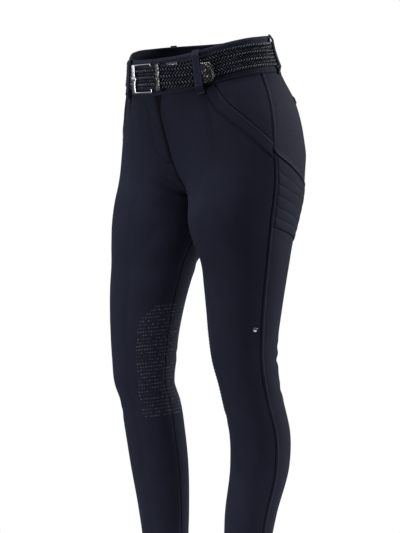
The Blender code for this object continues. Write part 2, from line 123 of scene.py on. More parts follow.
# Front legs
# Each leg's front is one long panel of navy stretch twill, from the waistband to the ankle. It is
# cut close, sewn to the back at the side seam and the inseam, and worn stretched.
LEFT, RIGHT = 1, -1
SIDES = {"left": LEFT, "right": RIGHT}
WALL = 0.0016
SEAM_GAP = 0.0003
SEAM_MEET = 0.0007
CROTCH = -0.250
HEM = -0.900
STRETCH = 1.05
BAND_DEPTH = 0.056
FLY_GAPE = 0.055
FLY_GAPE_END = -0.125
FLY_SLIT = 0.022
FLY_END = -0.198
CROTCH_ROW = 0.21
LEG_PARTING = 0.06
CROTCH_PARTING = 0.10
BAND_TUCK = 0.0016
SEAM_DIP = 0.0013
SEAM_DIP_WIDTH = 0.0014
NAVY = (0.0124, 0.0144, 0.0305)
TWILL_LINES = 480.0
TWILL_FLECKS = 420.0
TWILL_DOTS = 157.0
TWILL_WEAR = 22.0
SHEEN = (0.62, 0.68, 0.85, 1)

Level = namedtuple("Level", "height outer split_front split_back side seam front back stride")
LEVELS = (
    Level(0.020, 0.129, 0.00, 0.00, 0.003, 0.10, 0.1040, 0.078, 0.0),
    Level(-0.020, 0.131, 0.00, 0.00, 0.007, 0.10, 0.1065, 0.087, 0.0),
    Level(-0.060, 0.140, 0.03, 0.01, 0.012, 0.10, 0.1075, 0.105, 0.0),
    Level(-0.094, 0.151, 0.12, 0.06, 0.016, 0.10, 0.1085, 0.123, 0.0),
    Level(-0.132, 0.162, 0.25, 0.14, 0.0145, 0.11, 0.0983, 0.133, 0.0),
    Level(-0.160, 0.167, 0.38, 0.22, 0.0130, 0.13, 0.0900, 0.135, 0.0005),
    Level(-0.183, 0.170, 0.50, 0.32, 0.0115, 0.15, 0.0843, 0.134, 0.001),
    Level(-0.209, 0.171, 0.66, 0.47, 0.0110, 0.14, 0.082, 0.124, 0.002),
    Level(-0.230, 0.1705, 0.86, 0.74, 0.0100, 0.14, 0.082, 0.114, 0.003),
    Level(-0.250, 0.169, 1.00, 1.00, 0.0085, 0.15, 0.084, 0.106, 0.005),
    Level(-0.286, 0.165, 1.06, 1.06, 0.004, 0.17, 0.084, 0.096, 0.009),
    Level(-0.324, 0.160, 1.13, 1.13, 0.001, 0.22, 0.078, 0.079, 0.015),
    Level(-0.356, 0.1555, 1.23, 1.23, -0.002, 0.27, 0.0695, 0.069, 0.0206),
    Level(-0.394, 0.149, 1.31, 1.31, -0.007, 0.28, 0.0645, 0.063, 0.026),
    Level(-0.433, 0.143, 1.40, 1.40, -0.0108, 0.28, 0.060, 0.058, 0.0295),
    Level(-0.471, 0.138, 1.49, 1.49, -0.0134, 0.26, 0.0555, 0.054, 0.0317),
    Level(-0.510, 0.1335, 1.58, 1.58, -0.0124, 0.26, 0.0525, 0.0515, 0.0345),
    Level(-0.548, 0.130, 1.64, 1.64, -0.0069, 0.28, 0.049, 0.048, 0.0397),
    Level(-0.574, 0.1285, 1.64, 1.64, 0.0020, 0.28, 0.0485, 0.049, 0.039),
    Level(-0.625, 0.1275, 1.62, 1.62, 0.014, 0.25, 0.047, 0.050, 0.0417),
    Level(-0.676, 0.126, 1.64, 1.64, 0.0186, 0.22, 0.0455, 0.048, 0.0379),
    Level(-0.753, 0.118, 1.78, 1.78, 0.0147, 0.20, 0.040, 0.040, 0.0254),
    Level(-0.830, 0.108, 2.04, 2.04, 0.012, 0.20, 0.034, 0.034, 0.020),
    Level(-0.905, 0.102, 2.29, 2.29, 0.010, 0.20, 0.031, 0.031, 0.018),
)
Line = namedtuple("Line", "turn height")
RIM = (
    Line(0.00, -0.0355), Line(0.27, -0.0325), Line(0.48, -0.0250), Line(0.68, -0.0155),
    Line(0.90, -0.0070), Line(1.20, 0.0000), Line(2.00, 0.0060),
)
BAND_EDGE = (
    Line(0.445, -0.0820), Line(0.49, -0.1080), Line(0.59, -0.1320), Line(0.72, -0.1530),
    Line(1.0, -0.1960),
)

# Soft folds, from one end to the other. bow is how far the middle bends aside. The cloth swells a
# little on both sides of a fold, and a fold fades towards its ends.
CREASE_SWELL = 1.2
CREASE_FADE = 0.7
Crease = namedtuple("Crease", "turn height end_turn end_height bow width depth")
LEFT_CREASES = (
    Crease(0.210, -0.2370, 0.03, -0.2495, 0.004, 0.0130, 0.0007),
    Crease(0.330, -0.2210, 0.08, -0.2400, 0.004, 0.0140, 0.0005),
    Crease(0.330, -0.1360, 0.52, -0.1390, 0.002, 0.0090, 0.0008),
    Crease(0.300, -0.1160, 0.44, -0.1100, 0.002, 0.0080, 0.0005),
    Crease(1.720, -0.0950, 1.97, -0.0800, 0.003, 0.0100, 0.0008),
    Crease(1.400, -0.3470, 1.93, -0.3560, 0.006, 0.0110, 0.0016),
    Crease(1.820, -0.3030, 2.20, -0.2830, 0.004, 0.0110, 0.0014),
    Crease(1.250, -0.4860, 1.76, -0.4780, 0.004, 0.0075, 0.0020),
    Crease(1.180, -0.5080, 1.70, -0.5130, -0.003, 0.0085, 0.0026),
    Crease(1.320, -0.5310, 1.85, -0.5240, 0.004, 0.0075, 0.0022),
    Crease(1.240, -0.5540, 1.62, -0.5590, -0.002, 0.0085, 0.0016),
    Crease(1.480, -0.4690, 1.82, -0.4610, 0.002, 0.0070, 0.0013),
    Crease(0.380, -0.5730, 0.78, -0.5620, 0.004, 0.0100, 0.0010),
    Crease(0.200, -0.5950, 0.52, -0.6010, 0.002, 0.0090, 0.0009),
    Crease(0.420, -0.4120, 0.70, -0.4060, 0.002, 0.0120, 0.0006),
    Crease(0.250, -0.8010, 0.74, -0.8090, 0.003, 0.0070, 0.0011),
    Crease(1.150, -0.8180, 1.72, -0.8100, 0.003, 0.0070, 0.0013),
    Crease(0.580, -0.8470, 1.12, -0.8420, -0.002, 0.0065, 0.0011),
    Crease(1.300, -0.6930, 1.74, -0.7010, 0.003, 0.0110, 0.0010),
)
RIGHT_CREASES = (
    Crease(0.235, -0.2290, 0.02, -0.2500, 0.004, 0.0105, 0.0026),
    Crease(0.160, -0.2130, 0.03, -0.2390, 0.003, 0.0085, 0.0013),
    Crease(0.330, -0.2640, 0.06, -0.2700, 0.003, 0.0120, 0.0010),
    Crease(0.420, -0.1430, 0.62, -0.1500, 0.002, 0.0100, 0.0006),
    Crease(1.700, -0.1010, 1.96, -0.0830, 0.002, 0.0090, 0.0009),
    Crease(1.350, -0.3430, 1.90, -0.3530, 0.005, 0.0100, 0.0018),
    Crease(1.800, -0.3120, 2.16, -0.2910, 0.004, 0.0100, 0.0013),
    Crease(1.220, -0.4810, 1.70, -0.4890, 0.003, 0.0080, 0.0021),
    Crease(1.300, -0.5040, 1.80, -0.4980, 0.004, 0.0075, 0.0024),
    Crease(1.200, -0.5260, 1.74, -0.5330, -0.003, 0.0085, 0.0024),
    Crease(1.380, -0.5500, 1.78, -0.5460, 0.002, 0.0070, 0.0016),
    Crease(0.420, -0.5690, 0.83, -0.5760, -0.003, 0.0100, 0.0010),
    Crease(0.520, -0.5980, 0.90, -0.5900, 0.002, 0.0090, 0.0008),
    Crease(0.480, -0.7970, 0.96, -0.8060, 0.003, 0.0070, 0.0012),
    Crease(1.240, -0.8270, 1.80, -0.8200, 0.002, 0.0070, 0.0013),
    Crease(0.180, -0.8390, 0.63, -0.8480, 0.002, 0.0065, 0.0010),
    Crease(1.260, -0.7050, 1.66, -0.6960, 0.003, 0.0110, 0.0010),
)


def curve_through(rows, column):
    """A smooth curve through one column of a table, read along the table's first column."""
    rows = sorted(rows)
    place = np.array([row[0] for row in rows])
    value = np.array([getattr(row, column) for row in rows])
    slope = np.gradient(value, place)

    def curve(at):
        at = np.clip(at, place[0], place[-1])
        row = np.clip(np.searchsorted(place, at) - 1, 0, len(place) - 2)
        span = place[row + 1] - place[row]
        part = (at - place[row]) / span
        rest = 1 - part
        start = value[row] * (1 + 2 * part) * rest**2 + slope[row] * span * part * rest**2
        return start + value[row + 1] * (1 + 2 * rest) * part**2 - slope[row + 1] * span * rest * part**2

    return curve


def eased(part):
    """0 to 1 with a gentle start and end."""
    part = np.clip(part, 0, 1)
    return part * part * (3 - 2 * part)


form = {column: curve_through(LEVELS, column) for column in Level._fields[1:]}
rim_height = curve_through(RIM, "height")
band_edge_height = curve_through(BAND_EDGE, "height")


def near(distance, width):
    """1 at a line, falling to 0 beside it."""
    return np.exp(-((distance / width) ** 2))


def unit(ways):
    return ways / np.linalg.norm(ways, axis=-1, keepdims=True)


def between(start, end, share):
    return start * (1 - share) + end * share


def worn_surface(side, angle, height):
    """The cloth's outer face at an angle round a section: 0 at the inner leg, pi at the widest line."""
    is_front = angle <= np.pi
    split = np.where(is_front, form["split_front"](height), form["split_back"](height))
    depth = np.where(is_front, form["front"](height), form["back"](height))
    across = form["outer"](height) / (1 + split) * (split - np.cos(angle))
    along = form["side"](height) - depth * np.sin(angle)
    leg_free = np.maximum(eased(across / LEG_PARTING), eased((CROTCH - height) / CROTCH_PARTING))
    along = along + side * form["stride"](height) * leg_free
    return np.stack([side * (across + SEAM_GAP / 2), along, height], axis=-1)


def on_form(side, turn, height):
    """(points, outward directions) of the worn shape for arrays of turns and heights."""
    turn, height = np.broadcast_arrays(np.asarray(turn, float), np.asarray(height, float))
    first = np.arccos(np.clip(form["split_front"](height), 0, 1))
    seam = np.pi - form["seam"](height)
    last = 2 * np.pi - np.arccos(np.clip(form["split_back"](height), 0, 1))
    angle = np.where(turn <= 1, first + turn * (seam - first), seam + (turn - 1) * (last - seam))
    step = 1e-4
    round_it = worn_surface(side, angle + step, height) - worn_surface(side, angle - step, height)
    up_it = worn_surface(side, angle, height + step) - worn_surface(side, angle, height - step)
    return worn_surface(side, angle, height), unit(np.cross(round_it, up_it) * side)


def girth_of_a_turn():
    """Metres of cloth in one turn, at levels down the leg."""
    heights = np.linspace(HEM, 0, 60)
    points, _ = on_form(LEFT, np.linspace(0, 2, 81)[None, :], heights[:, None])
    return heights, np.linalg.norm(np.diff(points, axis=1), axis=-1).sum(axis=1) / 2


girth_heights, girths = girth_of_a_turn()


def crease_lift(side, turn, height):
    """How far the folds raise (or, below nought, sink) the cloth."""
    lift = np.zeros(np.broadcast(turn, height).shape)
    for crease in LEFT_CREASES if side == LEFT else RIGHT_CREASES:
        girth = np.interp((crease.height + crease.end_height) / 2, girth_heights, girths)
        along = np.array([(crease.end_turn - crease.turn) * girth, crease.end_height - crease.height])
        length = np.hypot(*along)
        up = height - crease.height
        for lap in (-2, 0, 2) if crease.height < CROTCH else (0,):
            across = (turn + lap - crease.turn) * girth
            part = np.clip((across * along[0] + up * along[1]) / length**2, 0, 1)
            aside = (across * along[1] - up * along[0]) / length - crease.bow * 4 * part * (1 - part)
            off = (aside / crease.width) ** 2
            fade = np.sin(np.pi * part) ** CREASE_FADE
            lift -= crease.depth * (1 - CREASE_SWELL * off) * np.exp(-off) * fade
    return lift


def cloth_length(points, axis):
    """How far along its rows or columns each point of a grid lies, in metres."""
    steps = np.linalg.norm(np.diff(points, axis=axis), axis=-1)
    return np.insert(np.cumsum(steps, axis=axis), 0, 0, axis=axis)


def crowded(share, pull):
    """Draws evenly spaced shares together towards both ends."""
    return share - pull * np.sin(2 * np.pi * share) / (2 * np.pi)


def sooner(share, pull):
    """Draws evenly spaced shares together towards the start."""
    return share * (1 - pull) + pull * share**2


def as_piece(name, node, mesh, material, replaced=True):
    """Makes a mesh one smooth piece, hung from the root. It stands in for the node unless told not to."""
    mesh.shade_smooth()
    mesh.materials.append(material)
    piece = bpy.data.objects.new(name, mesh)
    bpy.context.scene.collection.objects.link(piece)
    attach(piece, "root")
    if replaced:
        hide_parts(node)
    return piece


def shell(name, node, steps, place, thickness, material, crowd=(0.0, 0.0), replaced=True):
    """A fine grid laid where place says, with an inner face. Returns the piece and its measures."""
    across_steps, down_steps = steps
    sheet = bmesh.new()
    weave_map = sheet.loops.layers.uv.new("weave")
    bmesh.ops.create_grid(sheet, x_segments=across_steps, y_segments=down_steps, size=0.5)
    sheet.verts.ensure_lookup_table()
    flat = np.array([vert.co for vert in sheet.verts])
    order = np.lexsort((flat[:, 0], -flat[:, 1])).reshape(down_steps + 1, across_steps + 1)
    across = crowded(flat[order, 0] + 0.5, crowd[0])
    down = sooner(0.5 - flat[order, 1], crowd[1])
    points, out = place(across, down)
    width, length = cloth_length(points, 1), cloth_length(points, 0)
    middle = across_steps // 2
    weave = np.stack([width - width[:, middle:middle + 1], -length], axis=-1)
    weave_of = {}
    for index, point, spot in zip(order.ravel(), points.reshape(-1, 3), weave.reshape(-1, 2)):
        sheet.verts[index].co = point
        weave_of[index] = spot
    sheet.normal_update()
    sheet.faces.ensure_lookup_table()
    face = sheet.faces[len(sheet.faces) // 2]
    nearest = np.argwhere(order == face.verts[0].index)[0]
    if face.normal.dot(Vector(out[tuple(nearest)])) < 0:
        bmesh.ops.reverse_faces(sheet, faces=sheet.faces)
    for face in sheet.faces:
        for corner in face.loops:
            corner[weave_map].uv = weave_of[corner.vert.index]
    piece = as_piece(name, node, as_mesh(name, sheet), material, replaced)
    inner_face = piece.modifiers.new("inner face", "SOLIDIFY")
    inner_face.thickness = thickness
    inner_face.offset = -1
    cells = np.cross(points[1:, 1:] - points[:-1, :-1], points[1:, :-1] - points[:-1, 1:])
    return piece, (width[:, -1].max(), length[-1].max(), np.linalg.norm(cells, axis=-1).sum() / 2)


Edges = namedtuple("Edges", "turn height left right top bottom")


def met_at_seams(points, turn, height):
    """Draws a panel's four edges out to its neighbours, so that no light comes between them."""
    met = points.copy()
    for edge, inner in ((np.s_[:, 0], np.s_[:, 1]), (np.s_[:, -1], np.s_[:, -2]), (0, 1), (-1, -2)):
        met[edge] += unit(points[edge] - points[inner]) * SEAM_MEET
    at_centre = (np.minimum(turn, 2 - turn) < 1e-6) & (height >= CROTCH)
    met[at_centre, 0] = 0
    return met


def dip(distance):
    """The groove where cloth turns in to a seam."""
    return -SEAM_DIP * near(distance, SEAM_DIP_WIDTH)


def cloth(node, side, outline, steps, rise, crowd=(0.0, 0.0), thickness=WALL):
    """A cut panel. outline gives turns and heights, and rise how far the cloth stands off the form."""

    def place(across, down):
        turn, height = outline(across, down)
        points, out = on_form(side, turn, height)
        width, length = cloth_length(points, 1), cloth_length(points, 0)
        edges = Edges(turn, height, width, width[:, -1:] - width, length, length[-1:] - length)
        lift = rise(edges) + crease_lift(side, turn, height)
        return met_at_seams(points + out * lift[..., None], turn, height), out

    piece, (width, length, area) = shell(f"{node}_cloth", node, steps, place, thickness, twill, crowd)
    cut = (round(width / STRETCH, 3), round(length, 3))
    area = min(round(area / STRETCH, 4), cut[0] * cut[1])


def painted(name, colour, roughness, **sockets):
    """A material with one Principled shader, whose other sockets are given by name."""
    material = bpy.data.materials.new(name)
    material.use_nodes = True
    shader = material.node_tree.nodes["Principled BSDF"]
    shader.inputs["Base Color"].default_value = (*colour, 1)
    shader.inputs["Roughness"].default_value = roughness
    for socket, value in sockets.items():
        shader.inputs[socket.replace("_", " ")].default_value = value
    return material, shader


def added(material, kind, inputs, **settings):
    """Adds a shader node. An input is a number, or another node's output to take it from."""
    made = material.node_tree.nodes.new("ShaderNode" + kind)
    for name, value in settings.items():
        setattr(made, name, value)
    for name, value in inputs.items():
        if isinstance(value, bpy.types.NodeSocket):
            material.node_tree.links.new(value, made.inputs[name])
        else:
            made.inputs[name].default_value = value
    return made


def toned(material, shader, amount, dark, light):
    """Colours a surface from dark to light by an amount from 0 to 1."""
    ramp = added(material, "ValToRGB", {"Fac": amount})
    ramp.color_ramp.elements[0].color = (*dark, 1)
    ramp.color_ramp.elements[1].color = (*light, 1)
    material.node_tree.links.new(ramp.outputs["Color"], shader.inputs["Base Color"])
    return ramp


def raised(material, shader, heights):
    """Bumps from (amount, depth in metres) pairs, the coarsest first."""
    normal = None
    for amount, depth in heights:
        inputs = {"Height": amount, "Distance": depth, "Strength": 1.0}
        if normal:
            inputs["Normal"] = normal
        normal = added(material, "Bump", inputs).outputs["Normal"]
    material.node_tree.links.new(normal, shader.inputs["Normal"])


def noise(material, place, scale, detail, roughness=0.5):
    """Soft random mottling, from 0 to 1."""
    inputs = {"Vector": place, "Scale": scale, "Detail": detail, "Roughness": roughness}
    return added(material, "TexNoise", inputs).outputs["Fac"]


def worked_out(material, operation, *inputs):
    return added(material, "Math", dict(enumerate(inputs)), operation=operation).outputs[0]


def shaded(colour, share):
    return tuple(channel * share for channel in colour)


def make_twill(name, colour):
    """Stretch twill: fine slanted wales, rows of small dots, a flecked yarn and a faint nap."""
    material, shader = painted(
        name, colour, 0.80, Sheen_Weight=0.05, Sheen_Roughness=0.4, Sheen_Tint=SHEEN, Specular_IOR_Level=0.15
    )
    weave = added(material, "TexCoord", {}).outputs["UV"]

    def lines(scale, distortion, detail, way):
        inputs = {"Vector": weave, "Scale": scale, "Distortion": distortion, "Detail": detail}
        return added(material, "TexWave", inputs, bands_direction=way).outputs["Fac"]

    wales = lines(TWILL_LINES, 0.6, 1.0, "DIAGONAL")
    dotted = worked_out(material, "MULTIPLY", *(lines(TWILL_DOTS, 0.3, 2.0, way) for way in "XY"))
    flecks = noise(material, weave, TWILL_FLECKS, 3.0, 0.65)
    wear = noise(material, weave, TWILL_WEAR, 4.0)
    flecked = worked_out(material, "MULTIPLY_ADD", wear, 0.3, worked_out(material, "MULTIPLY", flecks, 0.7))
    tone = worked_out(material, "MULTIPLY_ADD", dotted, 0.16, flecked)
    ramp = toned(material, shader, tone, shaded(colour, 0.62), shaded(colour, 1.45))
    ramp.color_ramp.elements[0].position = 0.32
    ramp.color_ramp.elements[1].position = 0.76
    raised(material, shader, ((wear, 0.0006), (dotted, 0.00022), (flecks, 0.00018), (wales, 0.00010)))
    return material


twill = make_twill("stretch twill", NAVY)


def waist_seam(turn):
    return rim_height(turn) - BAND_DEPTH


def under_band(turn):
    """A panel's top edge, tucked a little way up behind the waistband."""
    return waist_seam(turn) + BAND_TUCK


FLY_GAPE_EASE = 1.5
FLY_SLIT_EASE = 0.02
FLY_FOLD_EASE = 0.012
FLY_EDGE_WIDTH = 0.0044
FLY_FOLD = 0.0012
FLY_SINK = 0.0046


def front_outline(side):
    """Down to the crotch level, then to the hem. The left one stands open at the fly."""

    def outline(across, down):
        corner = BAND_EDGE[0].turn
        top = np.where(across <= corner, under_band(across), band_edge_height(np.maximum(across, corner)))
        to_crotch = np.minimum(down / CROTCH_ROW, 1)
        to_hem = np.maximum(down - CROTCH_ROW, 0) / (1 - CROTCH_ROW)
        height = between(top, CROTCH, to_crotch) + (HEM - CROTCH) * to_hem
        if side == RIGHT:
            return across, height
        opened = np.clip((height - FLY_GAPE_END) / (waist_seam(0) - FLY_GAPE_END), 0, 1) ** FLY_GAPE_EASE
        gape = FLY_SLIT * eased((height - FLY_END) / FLY_SLIT_EASE) + FLY_GAPE * opened
        return gape * np.clip(1 - across / corner, 0, 1) + across, height

    return outline


def front_rise(side):
    """Dips at the side seam, inseam and pocket band, and the fly's folded edge on the left."""

    def rise(at):
        flying = eased((at.height - FLY_END) / FLY_FOLD_EASE)
        edge = (FLY_FOLD if side == LEFT else -FLY_SINK) * near(at.left, FLY_EDGE_WIDTH)
        waist = np.where(at.turn < BAND_EDGE[0].turn, 0.5 * dip(at.top - BAND_TUCK), 0.35 * dip(at.top))
        return edge * flying + dip(at.left) * (1 - flying) + dip(at.right) + waist

    return rise


for word, side in SIDES.items():
    cloth(f"front_{word}", side, front_outline(side), (72, 220), front_rise(side), (0.75, 0.60))

# Stitching
# Seams and edges are topstitched in a thread a shade lighter than the twill, three to a centimetre,
# each stitch pulled down into the cloth.
STITCH_PITCH = 0.0032
STITCH_SIZE = (0.00034, 0.00026, 0.00130)
THREAD = (0.062, 0.068, 0.094)
THREAD_PROUD = 0.0001
FELL_WIDTH = 0.0062
FELL_RISE = 0.0010
FELL_SEAM_SLOPE = 0.0015
FELL_FAR_SLOPE = 0.0012
FELL_STITCHES_IN = 0.0018
INSEAM_STITCHES_IN = 0.003
INSEAM_STITCHES_SUNK = 0.0002


def make_bead(segments, rings):
    """A rounded bead of radius 1, long axis along Z: its points and its faces."""
    ball = bmesh.new()
    bmesh.ops.create_uvsphere(ball, u_segments=segments, v_segments=rings, radius=1.0)
    points = np.array([vert.co for vert in ball.verts])
    ball.verts.index_update()
    faces = [[vert.index for vert in face.verts] for face in ball.faces]
    ball.free()
    return points, faces


def spaced(path, out, pitch):
    """Middles set evenly along a path, each with its directions aside, outward and along."""
    at = cloth_length(path, 0)
    count = max(int(at[-1] / pitch), 1)
    spots = (np.arange(count) + 0.5) * at[-1] / count

    def read(rows, spots):
        return np.stack([np.interp(spots, at, column) for column in rows.T], axis=-1)

    along = unit(read(path, spots + 1e-4) - read(path, spots - 1e-4))
    aside = unit(np.cross(read(out, spots), along))
    return read(path, spots), np.stack([aside, np.cross(along, aside), along], axis=1)


def laid(name, node, runs, material, bead, size, replaced=False):
    """One joined piece of many beads, from (middles, directions) pairs. Each bead has its own tone."""
    points, faces = bead
    middles = np.concatenate([run[0] for run in runs])
    directions = np.concatenate([run[1] for run in runs])
    placed = middles[:, None] + (points * size) @ directions
    corners = [[corner + n * len(points) for corner in face] for n in range(len(middles)) for face in faces]
    mesh = bpy.data.meshes.new(name)
    mesh.from_pydata(placed.reshape(-1, 3).tolist(), [], corners)
    tone = mesh.attributes.new("tone", "FLOAT", "POINT")
    shades = np.random.default_rng(len(middles)).random(len(middles))
    tone.data.foreach_set("value", np.repeat(shades, len(points)))
    as_piece(name, node, mesh, material, replaced)


def sewn(side, turn, height, lift, pitch=STITCH_PITCH):
    """A run of stitches on a panel, along arrays of turns and heights."""
    turn, height = np.broadcast_arrays(np.asarray(turn, float), np.asarray(height, float))
    points, out = on_form(side, turn, height)
    raise_by = np.broadcast_to(lift, turn.shape) + crease_lift(side, turn, height)
    return spaced(points + out * raise_by[:, None], out, pitch)


def aside_turn(side, turn, height, distance):
    """The turn that lies a distance in metres further round than the given one."""
    height = np.asarray(height, float)
    here, _ = on_form(side, turn, height)
    there, _ = on_form(side, turn + 0.01, height)
    return turn + 0.01 * distance / np.linalg.norm(there - here, axis=-1)


def make_toned(name, dark, light, roughness, **sockets):
    """A material whose beads each have their own tone between two colours."""
    material, shader = painted(name, light, roughness, **sockets)
    tone = added(material, "Attribute", {}, attribute_name="tone").outputs["Fac"]
    toned(material, shader, tone, dark, light)
    return material


thread = make_toned("thread", shaded(THREAD, 0.7), THREAD, 0.7, Sheen_Weight=0.1, Specular_IOR_Level=0.2)
stitch = make_bead(6, 5)


def stitched(name, node, runs, yarn, size=STITCH_SIZE):
    laid(name, node, runs, yarn, stitch, size)


leg_levels = np.linspace(HEM + 0.004, -0.083, 240)
for word, side in SIDES.items():
    behind_seam = aside_turn(side, 1.0, leg_levels, FELL_WIDTH - FELL_STITCHES_IN)
    below_crotch = leg_levels[leg_levels < CROTCH - 0.004]
    by_inseam = aside_turn(side, 2.0, below_crotch, -INSEAM_STITCHES_IN)
    runs = [
        sewn(side, behind_seam, leg_levels, FELL_RISE),
        sewn(side, by_inseam, below_crotch, -INSEAM_STITCHES_SUNK),
    ]
    stitched(f"leg_seam_stitches_{word}", f"back_leg_{word}", runs, thread)

# Hip facings and pocket bands
# The three-cornered facing above each slanted pocket, and the strip along the pocket's mouth, whose
# upper edge is folded over and stitched so that it stands a little proud. The mouth is stitched in
# a pale thread, partly the thread's own tone and partly a painted highlight for the light that
# folded edge catches.
POCKET_BAND_RISE = 0.0009
MOUTH = (
    Line(0.535, -0.0780), Line(0.595, -0.1015), Line(0.71, -0.1255), Line(0.84, -0.1470), Line(1.0, -0.1700),
)
MOUTH_FOLD = 0.0005
MOUTH_FOLD_WIDTH = 0.0016
POCKET_BAND_SLOPE = 0.006
FACING_IN = 0.02

mouth_height = curve_through(MOUTH, "height")
# A pale thread: partly its own tone, partly a painted highlight for the light caught by a folded edge.
light_thread_and_highlight = make_toned("light thread and painted highlight", (0.09, 0.10, 0.13), (0.16, 0.17, 0.21), 0.6, Specular_IOR_Level=0.3)
dark_thread = make_toned("dark thread", shaded(NAVY, 0.25), shaded(NAVY, 0.5), 0.7, Specular_IOR_Level=0.1)


def facing_outline(across, down):
    turn = between(MOUTH[0].turn + FACING_IN, 1, across)
    return turn, between(under_band(turn), mouth_height(turn), down)


def facing_rise(at):
    return dip(at.top - BAND_TUCK) + dip(at.right) + 1.3 * dip(at.bottom)


def pocket_band_outline(across, down):
    upper = between(MOUTH[0].turn, 1, across)
    lower = between(BAND_EDGE[0].turn, 1, across)
    turn = between(upper, lower, down)
    height = between(mouth_height(upper), band_edge_height(lower), down)
    height[:, 0] = waist_seam(turn[:, 0])
    return turn, height


def pocket_band_rise(at):
    fold = MOUTH_FOLD * near(at.top - MOUTH_FOLD_WIDTH / 2, MOUTH_FOLD_WIDTH)
    proud = POCKET_BAND_RISE * between(0.25, 1, eased(at.bottom / POCKET_BAND_SLOPE))
    return proud + fold + 0.9 * dip(at.bottom) + dip(at.right) + 0.7 * dip(at.left)


for word, side in SIDES.items():
    cloth(f"hip_facing_{word}", side, facing_outline, (48, 40), facing_rise, (0.6, 0.0))
    band = f"pocket_band_{word}"
    cloth(band, side, pocket_band_outline, (90, 22), pocket_band_rise, (0.3, 0.0), WALL + POCKET_BAND_RISE)
    share = np.linspace(0.02, 0.985, 90)[None, :]
    for line, down, yarn in (("mouth", 0.075, light_thread_and_highlight), ("edge", 0.90, dark_thread)):
        turn, height = pocket_band_outline(share, np.full_like(share, down))
        run = sewn(side, turn[0, 1:], height[0, 1:], POCKET_BAND_RISE + 2 * THREAD_PROUD)
        stitched(f"pocket_{line}_stitches_{word}", band, [run], yarn)

# Yokes
# The shaped piece under the waistband at the back. Its lower edge is turned up in a thick lip, sewn
# down along both sides.
YOKE_EDGE = (
    Line(1.0, -0.1800), Line(1.15, -0.2022), Line(1.30, -0.2238), Line(1.60, -0.2455), Line(2.0, -0.2390),
)
LIP_RISE = 0.0013
LIP_DEPTH = 0.0055
LIP_SLOPE = 0.002
LIP_STITCHES_UP = 0.0026
LIP_STITCHES_OFF = 0.0030
RUN_OUT = 0.25
DOUBLED = WALL + 0.0004

yoke_height = curve_through(YOKE_EDGE, "height")


def fell(distance):
    """The narrow raised strip behind the side seam, where the seam is felled and topstitched."""
    return FELL_RISE * eased(distance / FELL_SEAM_SLOPE) * eased((FELL_WIDTH - distance) / FELL_FAR_SLOPE)


def run_out(turn):
    """1 over a back panel, falling to 0 at the centre back seam and the inseam."""
    return eased((2 - turn) / RUN_OUT)


def behind(upper, lower):
    """A back panel's outline, from the side seam to the centre back, between two edges."""

    def outline(across, down):
        turn = 1 + across
        return turn, between(upper(turn), lower(turn), down)

    return outline


def yoke_rise(at):
    lip = LIP_RISE * run_out(at.turn) * eased((LIP_DEPTH - at.bottom) / LIP_SLOPE)
    return lip + dip(at.top - BAND_TUCK) + dip(at.left) + fell(at.left) + 0.8 * dip(at.right)


for word, side in SIDES.items():
    cloth(f"yoke_{word}", side, behind(under_band, yoke_height), (64, 84), yoke_rise, (0.7, 0.0), DOUBLED)
    turn = np.linspace(1.03, 1.97, 120)
    runs = [
        sewn(side, turn, yoke_height(turn) + up, rise * run_out(turn))
        for up, rise in ((LIP_STITCHES_UP, LIP_RISE), (LIP_DEPTH + LIP_STITCHES_OFF, THREAD_PROUD))
    ]
    stitched(f"yoke_stitches_{word}", f"yoke_{word}", runs, light_thread_and_highlight)

# Ribbed panels
# Under each yoke, six lightly padded ribs run across the back of the thigh, the top one wider, with
# a sewn line between them.
RIB_LINES = (0.0, 0.237, 0.410, 0.575, 0.730, 0.871, 1.0)
RIB_HEIGHT = 0.0015
RIB_FULLNESS = 0.28
RIB_START = 0.004
UNDER_LIP = 1.6
UNDER_LIP_WIDTH = 0.0018
RIB_EDGE = (Line(1.0, -0.2965), Line(1.17, -0.3090), Line(1.60, -0.3320), Line(2.0, -0.3375))

rib_edge_height = curve_through(RIB_EDGE, "height")


def ribbed_rise(at):
    rows = np.interp(np.linspace(0, 1, at.turn.shape[0]), RIB_LINES, np.arange(len(RIB_LINES)))[:, None]
    pad = np.abs(np.sin(np.pi * rows)) ** RIB_FULLNESS
    ribs = RIB_HEIGHT * pad * run_out(at.turn) * eased((at.left - FELL_WIDTH) / RIB_START)
    under_lip = UNDER_LIP * (dip(at.top) + dip(at.top - UNDER_LIP_WIDTH))
    return ribs + under_lip + dip(at.left) + fell(at.left) + 0.8 * dip(at.right)


for word, side in SIDES.items():
    panel = f"ribbed_panel_{word}"
    outline = behind(yoke_height, rib_edge_height)
    cloth(panel, side, outline, (60, 130), ribbed_rise, (0.7, 0.0), DOUBLED)
    turn = np.linspace(1.035, 1.96, 120)
    runs = []
    for line in RIB_LINES[1:-1]:
        runs.append(sewn(side, turn, between(yoke_height(turn), rib_edge_height(turn), line), THREAD_PROUD))
    stitched(f"rib_stitches_{word}", panel, runs, dark_thread)

# Back legs
# From the ribs to the ankle, with the side seam felled towards the back.


def hem_height(turn):
    return HEM + 0 * turn


def back_leg_rise(at):
    return dip(at.top) + dip(at.left) + fell(at.left) + dip(at.right)


for word, side in SIDES.items():
    outline = behind(rib_edge_height, hem_height)
    cloth(f"back_leg_{word}", side, outline, (72, 180), back_leg_rise, (0.75, 0.40))

# Waistband
# A doubled band of the same twill round the waist, lower at the front, with two rows of stitching
# along its lower edge and one along its top.
BAND_RISE = 0.0010
BAND_EDGE_ROUND = 0.0012
BAND_EDGE_WIDTH = 0.0016
BAND_STITCHES_DOWN = (0.0032, 0.0495, 0.0529)


def band_outline(across, down):
    turn = 2 * across
    return turn, rim_height(turn) - BAND_DEPTH * down


def band_rise(at):
    return BAND_RISE - BAND_EDGE_ROUND * near(np.minimum(at.top, at.bottom), BAND_EDGE_WIDTH)


